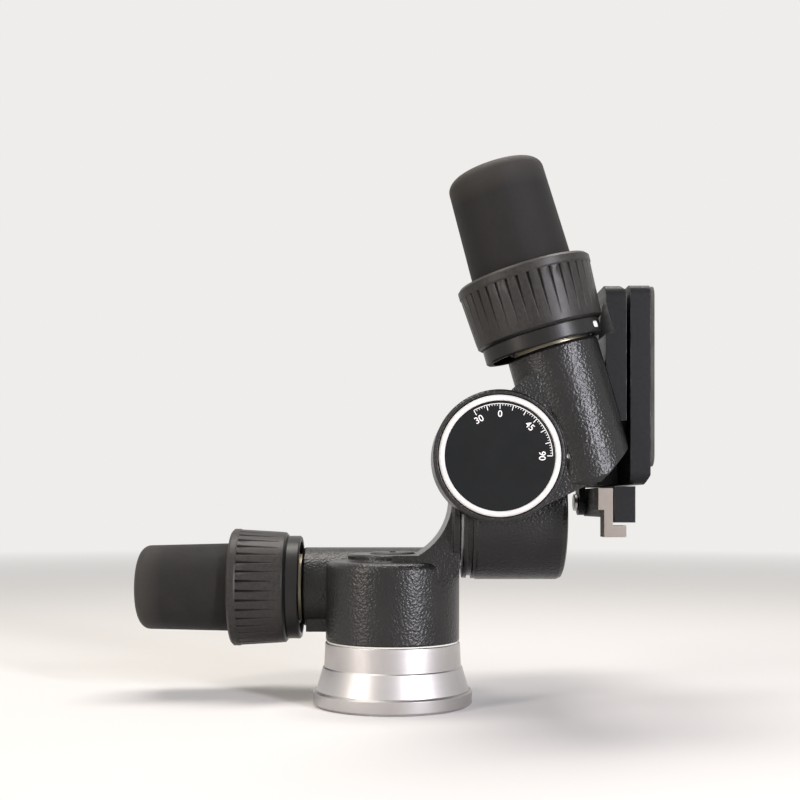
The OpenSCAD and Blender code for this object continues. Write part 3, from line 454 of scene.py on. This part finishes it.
# %% Finish the platform, the lever and the level
anodised_black, shader = new_finish("anodised_black", (0.022, 0.022, 0.023), 0.42)
bare = combine(anodised_black, "MULTIPLY", edge_share(anodised_black, 0.0006, 0.06, 0.4),
               between(anodised_black, grain(anodised_black, 220.0, 6.0, roughness=0.7),
                       0.42, 0.62))
brushed = grain(anodised_black, 900.0, 3.0, (1, 0.05, 1))
skin = mixed(anodised_black, brushed, (0.007, 0.007, 0.0075), (0.013, 0.013, 0.014))
set_finish(anodised_black, shader,
           Base_Color=mixed(anodised_black, bare, skin, (0.22, 0.21, 0.20)),
           Roughness=between(anodised_black, brushed, 0.3, 0.7, 0.34, 0.46),
           Normal=relief(anodised_black, brushed, 0.00002, 0.0004, 0.5))
shader.inputs["Specular IOR Level"].default_value = 0.18
dress(anodised_black, "platform", "camera_plate", "lock_lever")

catch_metal = turned_metal("catch_metal", (0.23, 0.205, 0.18), 0.40, 0.00001, 5000.0, 1)
dress(catch_metal, "safety_catch")

pad_rubber, shader = new_finish("pad_rubber", (0.05, 0.047, 0.043), 0.78)
set_finish(pad_rubber, shader,
           Base_Color=mixed(pad_rubber,
                            between(pad_rubber, grain(pad_rubber, 120.0, 5.0), 0.35, 0.7),
                            (0.035, 0.033, 0.030), (0.075, 0.070, 0.063)),
           Normal=relief(pad_rubber, grain(pad_rubber, 4000.0, 2.0), 0.00005))
shader.inputs["Sheen Weight"].default_value = 0.1
dress(pad_rubber, "plate_pad")

vial_glass, shader = new_finish("vial_glass", (0.62, 0.86, 0.22), 0.04)
set_finish(vial_glass, shader, Base_Color=mixed(vial_glass, grain(vial_glass, 200.0),
                                                (0.58, 0.84, 0.18), (0.66, 0.88, 0.26)))
shader.inputs["Transmission Weight"].default_value = 0.85
shader.inputs["IOR"].default_value = 1.45
dress(vial_glass, "level_vial")

# %% [markdown]
# ## Building a mesh one by one
#
# The pieces that follow are bmesh work: points and faces are set one by one, which is exact and
# keeps each piece light.


# %% Define the mesh helpers
def make_piece(name, mesh, body, material, smooth=True):
    bmesh.ops.recalc_face_normals(mesh, faces=mesh.faces)
    data = bpy.data.meshes.new(name)
    mesh.to_mesh(data)
    mesh.free()
    data.materials.append(material)
    for face in data.polygons:
        face.use_smooth = smooth
    piece = bpy.data.objects.new(name, data)
    bpy.context.scene.collection.objects.link(piece)
    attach(piece, body)
    print(name, len(data.polygons), "faces on", body)
    return piece


def on_circle(radius, angle):
    return radius * math.cos(angle), radius * math.sin(angle)


def prism(mesh, outline, thick, matrix):
    """A thin plate: its outline is drawn flat, and it is as thick as an ink layer or more."""
    low = [mesh.verts.new(matrix @ Vector((x, y, 0))) for x, y in outline]
    high = [mesh.verts.new(matrix @ Vector((x, y, thick))) for x, y in outline]
    mesh.faces.new(low[::-1])
    mesh.faces.new(high)
    for i in range(len(outline)):
        j = (i + 1) % len(outline)
        mesh.faces.new((low[i], low[j], high[j], high[i]))


def sweep(mesh, sections, closed_ends=True):
    """Joins a row of sections, each a ring of points, into one skin."""
    rings = [[mesh.verts.new(p) for p in section] for section in sections]
    for a, b in zip(rings, rings[1:]):
        for k in range(len(a)):
            m = (k + 1) % len(a)
            mesh.faces.new((a[k], a[m], b[m], b[k]))
    if closed_ends:
        mesh.faces.new(rings[0][::-1])
        mesh.faces.new(rings[-1])


def lathe(mesh, profile, matrix, steps=72):
    """Turns a profile of (radius, height) pairs round the local Z axis."""
    rings = []
    for radius, height in profile:
        if radius < 1e-6:
            rings.append([mesh.verts.new(matrix @ Vector((0, 0, height)))])
        else:
            rings.append([mesh.verts.new(matrix @ Vector((*on_circle(radius, a), height)))
                          for a in (2 * math.pi * i / steps for i in range(steps))])
    for a, b in zip(rings, rings[1:]):
        for k in range(steps):
            m = (k + 1) % steps
            corners = [a[k % len(a)], a[m % len(a)], b[m % len(b)], b[k % len(b)]]
            corners = list(dict.fromkeys(corners))
            if len(corners) > 2:
                mesh.faces.new(corners)


def helix(mesh, root, crest, pitch, low, high, matrix, share=0.42):
    """One V ridge wound round the local Z axis, which fades in and out at its ends."""
    per_turn = 40
    count = int((high - low) / pitch * per_turn)
    sections = []
    for i in range(count + 1):
        angle = 2 * math.pi * i / per_turn
        height = low + pitch * i / per_turn
        fade = min(1, i / (per_turn * 0.4), (count - i) / (per_turn * 0.4))
        tip = root + (crest - root) * max(fade, 0.02)
        base = root - (crest - root) * 0.3
        points = [(base, -pitch * share), (tip, -pitch * 0.07),
                  (tip, pitch * 0.07), (base, pitch * share)]
        sections.append([matrix @ Vector((*on_circle(r, angle), height + dz)) for r, dz in points])
    sweep(mesh, sections)


# %% [markdown]
# ## Dial scales
#
# Each tilt axis ends in a dial. Its scale runs from 30 on one side over 0 to 90 on the other, with
# a line along its rim, a long tick every fifteen degrees and a short one every three. Ink is
# printed on, so every stroke here is a plate a twentieth of a millimetre thick that stands on
# the disc. The numbers are Blender's own font turned into mesh, and their tops point outwards.


# %% Print the two dials
def arc_outline(radius, half_width, first, last, steps=60):
    angles = [math.radians(first + (last - first) * i / steps) for i in range(steps + 1)]
    outer = [on_circle(radius + half_width, a) for a in angles]
    inner = [on_circle(radius - half_width, a) for a in angles]
    return outer + inner[::-1]


def tick_outline(angle, inner, outer, width):
    a = math.radians(angle)
    along = Vector((math.cos(a), math.sin(a)))
    across = Vector((-math.sin(a), math.cos(a))) * width / 2
    return [along * inner - across, along * outer - across,
            along * outer + across, along * inner + across]


def as_mesh(holder):
    """The mesh that an object comes to once its font or its modifiers are worked out."""
    return bpy.data.meshes.new_from_object(
        holder.evaluated_get(bpy.context.evaluated_depsgraph_get()))


def number_on(mesh, text, angle, radius, height, thick, matrix):
    line = bpy.data.curves.new("dial_number", "FONT")
    line.body, line.size = text, height * 1.42
    line.align_x, line.align_y = "CENTER", "CENTER"
    line.extrude = thick / 2
    line.offset = height * 0.012
    holder = bpy.data.objects.new("dial_number", line)
    bpy.context.scene.collection.objects.link(holder)
    flat = as_mesh(holder)
    a = math.radians(angle)
    flat.transform(matrix @ Matrix.Translation((*on_circle(radius, a), thick / 2))
                   @ Matrix.Rotation(a - math.pi / 2, 4, "Z"))
    mesh.from_mesh(flat)
    bpy.data.objects.remove(holder)
    bpy.data.curves.remove(line)
    bpy.data.meshes.remove(flat)


LINE_RADIUS = 0.0174
INK = 0.00005


def dial_scale(name, body, middle, right, up):
    out = right.cross(up)
    matrix = Matrix.Translation(middle) @ Matrix((right, up, out)).transposed().to_4x4()
    mesh = bmesh.new()
    prism(mesh, arc_outline(LINE_RADIUS, 0.00011, 0, 120), INK, matrix)
    for angle in range(0, 121, 3):
        inner, width = (0.0156, 0.00026) if angle % 15 == 0 else (0.0167, 0.00018)
        prism(mesh, tick_outline(angle, inner, LINE_RADIUS, width), INK, matrix)
    for text, angle in {"30": 120, "0": 90, "45": 45, "90": 0}.items():
        number_on(mesh, text, angle, 0.0139, 0.0022, INK, matrix)
    return make_piece(name, mesh, body, mark_paint, smooth=False)


UP = Vector((0, 0, 1))
dial_scale("front_dial_scale", "lateral_stage", Vector((0.036, -0.05555, 0.0913)),
           Vector((1, 0, 0)), UP)
side_dial_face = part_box("lateral_dial")[1].x
dial_scale("lateral_dial_scale", "pan_stage", Vector((side_dial_face, 0, 0.071)),
           Vector((0, 1, 0)), UP)

# %% [markdown]
# ## Marks on the collars
#
# A white bar on each collar's skirt shows how far the collar is twisted. It is a patch of paint
# that follows the skirt's round, so its mesh is a small curved sheet with a little thickness.


# %% Paint the collar marks
def frame_round(start, direction, toward):
    side = (toward - direction * toward.dot(direction)).normalized()
    axes = Matrix((side, direction.cross(side), direction)).transposed().to_4x4()
    return Matrix.Translation(start) @ axes


def skirt_mark(name, body, knob, toward):
    start, direction = knob
    matrix = frame_round(start, direction, toward)
    mesh = bmesh.new()
    sections = []
    for i in range(9):
        a = math.radians(-4.5 + 9 * i / 8)
        short = 0.0004 if i in (0, 8) else 0.0
        sections.append([matrix @ Vector((*on_circle(r, a), z))
                         for r, z in ((0.0204, 0.0015 + short), (0.02056, 0.0015 + short),
                                      (0.02056, 0.0036 - short), (0.0204, 0.0036 - short))])
    sweep(mesh, sections)
    return make_piece(name, mesh, body, mark_paint)


skirt_mark("pan_collar_mark", "pan_release", PAN_KNOB, Vector((0, 0.5, 1)))
skirt_mark("lateral_collar_mark", "lateral_release", LATERAL_KNOB, Vector((0.3, 0, 1)))
skirt_mark("front_collar_mark", "front_release", FRONT_KNOB, Vector((1, -0.62, 0)))

# %% [markdown]
# ## Screw threads
#
# The tripod socket has a three-eighths inch thread and the camera screw a quarter inch one, as
# every camera has. A helix of V ridges is swept step by step, which gives a true thread. The
# camera screw is made whole: shank, thread and the flat head with its coin slot, which is cut
# with a Boolean modifier.

# %% Cut the threads
socket_thread = bmesh.new()
helix(socket_thread, 0.00402, 0.00374, 0.0015875, 0.0012, 0.0122, Matrix.Identity(4))
make_piece("tripod_socket_thread", socket_thread, "base", satin_aluminium)

PLATE_MIDDLE_HEIGHT = sum(c.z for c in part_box("camera_plate")) / 2
screw_low, screw_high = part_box("camera_screw")
screw_place = (Matrix.Translation((screw_low.x, 0, PLATE_MIDDLE_HEIGHT))
               @ Matrix.Rotation(math.pi / 2, 4, "Y"))
screw_length = screw_high.x - screw_low.x
THREAD_ROOT = 0.00262
screw_mesh = bmesh.new()
lathe(screw_mesh, [(0, 0), (0.0062, 0), (0.0066, 0.0003), (0.0066, 0.0017), (0.0063, 0.002),
                   (0.0032, 0.002), (THREAD_ROOT, 0.0026), (THREAD_ROOT, screw_length - 0.0006),
                   (0.0020, screw_length), (0, screw_length)],
      screw_place)
helix(screw_mesh, THREAD_ROOT, 0.003175, 0.00127, 0.0030, screw_length - 0.0005, screw_place)
threaded_screw = make_piece("threaded_camera_screw", screw_mesh, "plate_screw", machined_steel)
slot_mesh = bmesh.new()
prism(slot_mesh, [(-0.0007, -0.008), (0.0007, -0.008), (0.0007, 0.008), (-0.0007, 0.008)], 0.0012,
      screw_place @ Matrix.Translation((0, 0, -0.0006)))
slot_data = bpy.data.meshes.new("coin_slot")
bmesh.ops.recalc_face_normals(slot_mesh, faces=slot_mesh.faces)
slot_mesh.to_mesh(slot_data)
slot_cutter = bpy.data.objects.new("coin_slot", slot_data)
bpy.context.scene.collection.objects.link(slot_cutter)
cut = threaded_screw.modifiers.new("coin_slot", "BOOLEAN")
cut.operation, cut.object, cut.solver = "DIFFERENCE", slot_cutter, "FAST"
threaded_screw.data = as_mesh(threaded_screw)
threaded_screw.modifiers.clear()
bpy.data.objects.remove(slot_cutter)
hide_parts("camera_screw")
print("camera screw", round(screw_length * 1000, 1), "mm long")

# %% [markdown]
# ## Ribs on the rubber pad
#
# The camera stands on a pad with low ribs that keep it from twisting. Each rib is a half round
# swept across the plate, and the ribs beside the screw stop short of its hole.

# %% Lay the ribs
pad_low, pad_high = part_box("plate_pad")
rib_mesh = bmesh.new()
RIB_COUNT = 25
SCREW_ROOM = 0.0052
# how far along a rib each section lies, and how much of the full height it has there
RIB_ENDS = ((0, 0.3), (0.004, 0.85), (0.012, 1), (0.988, 1), (0.996, 0.85), (1, 0.3))
for row in range(RIB_COUNT):
    z = pad_low.z + 0.0035 + (pad_high.z - pad_low.z - 0.007) * row / (RIB_COUNT - 1)
    stretches = [(pad_low.y + 0.003, pad_high.y - 0.003)]
    if abs(z - PLATE_MIDDLE_HEIGHT) < SCREW_ROOM:
        stretches = [(pad_low.y + 0.003, -SCREW_ROOM), (SCREW_ROOM, pad_high.y - 0.003)]
    for left, right in stretches:
        sections = []
        for share, lift in RIB_ENDS:
            y = left + (right - left) * share
            sections.append([Vector((pad_high.x - 0.0001 + 0.00042 * lift * math.sin(a), y,
                                     z - 0.00055 * math.cos(a)))
                             for a in (math.pi * k / 6 for k in range(7))])
        sweep(rib_mesh, sections)
make_piece("pad_ribs", rib_mesh, "quick_plate", pad_rubber)

# %% [markdown]
# ## The spirit level
#
# The glass tube on the platform's far edge is filled with tinted spirit, and holds an air bubble
# between two painted lines. The bubble is a capsule just smaller than the bore.

# %% Fill the level
vial_low, vial_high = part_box("level_vial")
vial_axis = Vector(((vial_low.x + vial_high.x) / 2, (vial_low.y + vial_high.y) / 2, 0))
bubble_air, shader = new_finish("bubble_air", (0.93, 0.97, 0.80), 0.12)
set_finish(bubble_air, shader, Base_Color=mixed(bubble_air, grain(bubble_air, 500.0),
                                                (0.90, 0.96, 0.72), (0.97, 0.99, 0.9)))
shader.inputs["Transmission Weight"].default_value = 0.3
BUBBLE_RADIUS = 0.00125
bubble = bmesh.new()
middle = (vial_low.z + vial_high.z) / 2
lathe(bubble, [(BUBBLE_RADIUS * math.sin(math.pi * k / 12), middle + (0.0013 if k > 6 else -0.0013)
                - BUBBLE_RADIUS * math.cos(math.pi * k / 12)) for k in range(13)],
      Matrix.Translation((vial_axis.x, vial_axis.y, 0)), 32)
make_piece("level_bubble", bubble, "front_stage", bubble_air)
lines = bmesh.new()
for height in (middle - 0.0034, middle + 0.0034):
    low, high = height - 0.00016, height + 0.00016
    lathe(lines, [(0.00165, low), (0.00178, low), (0.00178, high), (0.00165, high), (0.00165, low)],
          Matrix.Translation((vial_axis.x, vial_axis.y, 0)), 40)
make_piece("level_lines", lines, "front_stage", dial_black)
